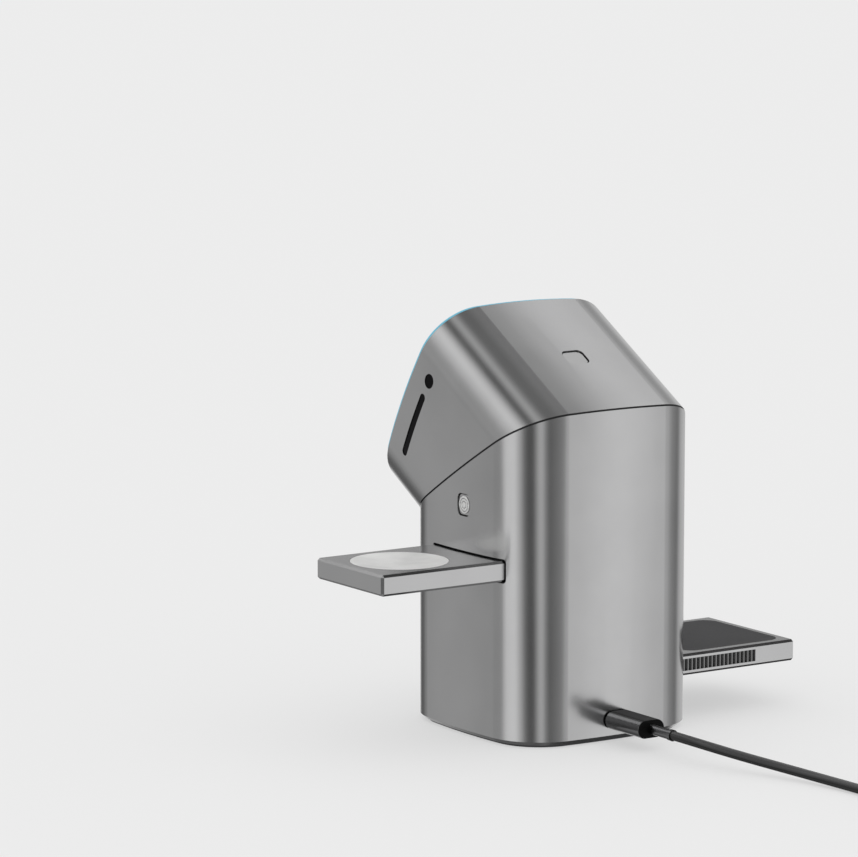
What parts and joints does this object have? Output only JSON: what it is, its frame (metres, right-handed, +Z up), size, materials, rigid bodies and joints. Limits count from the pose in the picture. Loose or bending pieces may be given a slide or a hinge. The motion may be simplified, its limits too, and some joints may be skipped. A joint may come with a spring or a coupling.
{
  "type": "wireless charging stand",
  "caption": "Wireless charging stand: rounded-square metal column, mitred head with a round magnetic pad, slide-out arm and shelf with coils, push buttons and a USB-C lead.",
  "frame": {"origin": "centre of the column's base on the surface it stands on", "axes": "+Z up, -Y towards the front that the head faces, +X towards the upper arm"},
  "size_m": [0.185, 0.2273, 0.1311],
  "materials": {
    "satin_metal": "satin",
    "button_metal": "satin",
    "dark_seam": "matt",
    "black_window": "gloss",
    "inner_plastic": "matt",
    "cover_plastic": "matt",
    "gear_plastic": "satin",
    "foot_rubber": "matt",
    "steel": "plain",
    "port_steel": "satin",
    "sink_metal": "matt",
    "circuit_board": "satin",
    "copper": "satin",
    "ferrite": "matt",
    "puck_white": "satin",
    "soft_pad": "soft matt",
    "face_black": "satin",
    "light_guide": "frosted, lit",
    "plug_black": "satin",
    "cable_black": "satin"
  },
  "bodies": {
    "housing": {"column_shell": "satin_metal", "head_shell": "satin_metal", "seam_gasket": "dark_seam", "dot_window": "black_window", "slot_window": "black_window", "mitre_collar": "inner_plastic", "top_switch": "inner_plastic", "top_bracket": "inner_plastic", "side_switch": "inner_plastic", "side_bracket": "inner_plastic", "foot_pad": "foot_rubber", "base_plate": "inner_plastic", "ballast": "steel", "chassis_front": "inner_plastic", "chassis_back": "inner_plastic", "arm_guide": "inner_plastic", "shelf_guide": "inner_plastic", "main_board": "circuit_board", "arm_damper": "inner_plastic", "shelf_damper": "inner_plastic", "light_guide": "light_guide", "ring_board": "circuit_board", "head_tray": "inner_plastic", "face_plate": "face_black", "face_pad": "soft_pad", "magnet_ring": "steel", "face_coil": "copper", "face_ferrite": "ferrite", "heat_sink": "sink_metal", "usb_port": "port_steel", "port_board": "circuit_board", "plug_tip": "port_steel", "plug_grip": "plug_black", "plug_neck": "plug_black", "lead_run": "cable_black", "lead_coil": "cable_black", "lead_tail": "cable_black", "far_neck": "plug_black", "far_grip": "plug_black", "far_tip": "port_steel", "base_screw_1": "steel", "base_screw_2": "steel", "base_screw_3": "steel", "base_screw_4": "steel"},
    "arm": {"arm_frame": "satin_metal", "arm_cover": "cover_plastic", "arm_puck": "puck_white", "arm_coil": "copper", "arm_magnet": "steel", "arm_board": "circuit_board"},
    "shelf": {"shelf_frame": "satin_metal", "shelf_cover": "cover_plastic", "shelf_pad": "soft_pad", "shelf_coil": "copper", "shelf_ferrite": "ferrite"},
    "arm_pinion": {"arm_gear": "gear_plastic"},
    "shelf_pinion": {"shelf_gear": "gear_plastic"},
    "top_button": {"top_button": "button_metal"},
    "side_button": {"side_button": "button_metal"}
  },
  "joints": [
    {"name": "arm_slide", "type": "slide", "parent": "housing", "child": "arm", "axis": [-1, 0, 0], "range_m": [0, 0.04255]},
    {"name": "shelf_slide", "type": "slide", "parent": "housing", "child": "shelf", "axis": [1, 0, 0], "range_m": [0, 0.0436]},
    {"name": "arm_pinion_spin", "type": "hinge", "parent": "housing", "child": "arm_pinion", "pos_m": [0.017, -0.0166, 0.05425], "axis": [0, 0, 1], "range_deg": [-15, 830]},
    {"name": "shelf_pinion_spin", "type": "hinge", "parent": "housing", "child": "shelf_pinion", "pos_m": [-0.017, 0.02505, 0.0175], "axis": [0, 0, 1], "range_deg": [-15, 850]},
    {"name": "top_button_press", "type": "slide", "parent": "housing", "child": "top_button", "axis": [0, -0.5, -0.866], "range_m": [0, 0.0006], "stiffness_N_per_m": 1500, "springref_m": -0.0003},
    {"name": "side_button_press", "type": "slide", "parent": "housing", "child": "side_button", "axis": [-1, 0, 0], "range_m": [0, 0.0006], "stiffness_N_per_m": 1500, "springref_m": -0.0003}
  ],
  "couplings": [
    {"joint": "arm_pinion_spin", "follows": "arm_slide", "rad_per_m": 333.33},
    {"joint": "shelf_pinion_spin", "follows": "shelf_slide", "rad_per_m": 333.33}
  ]
}
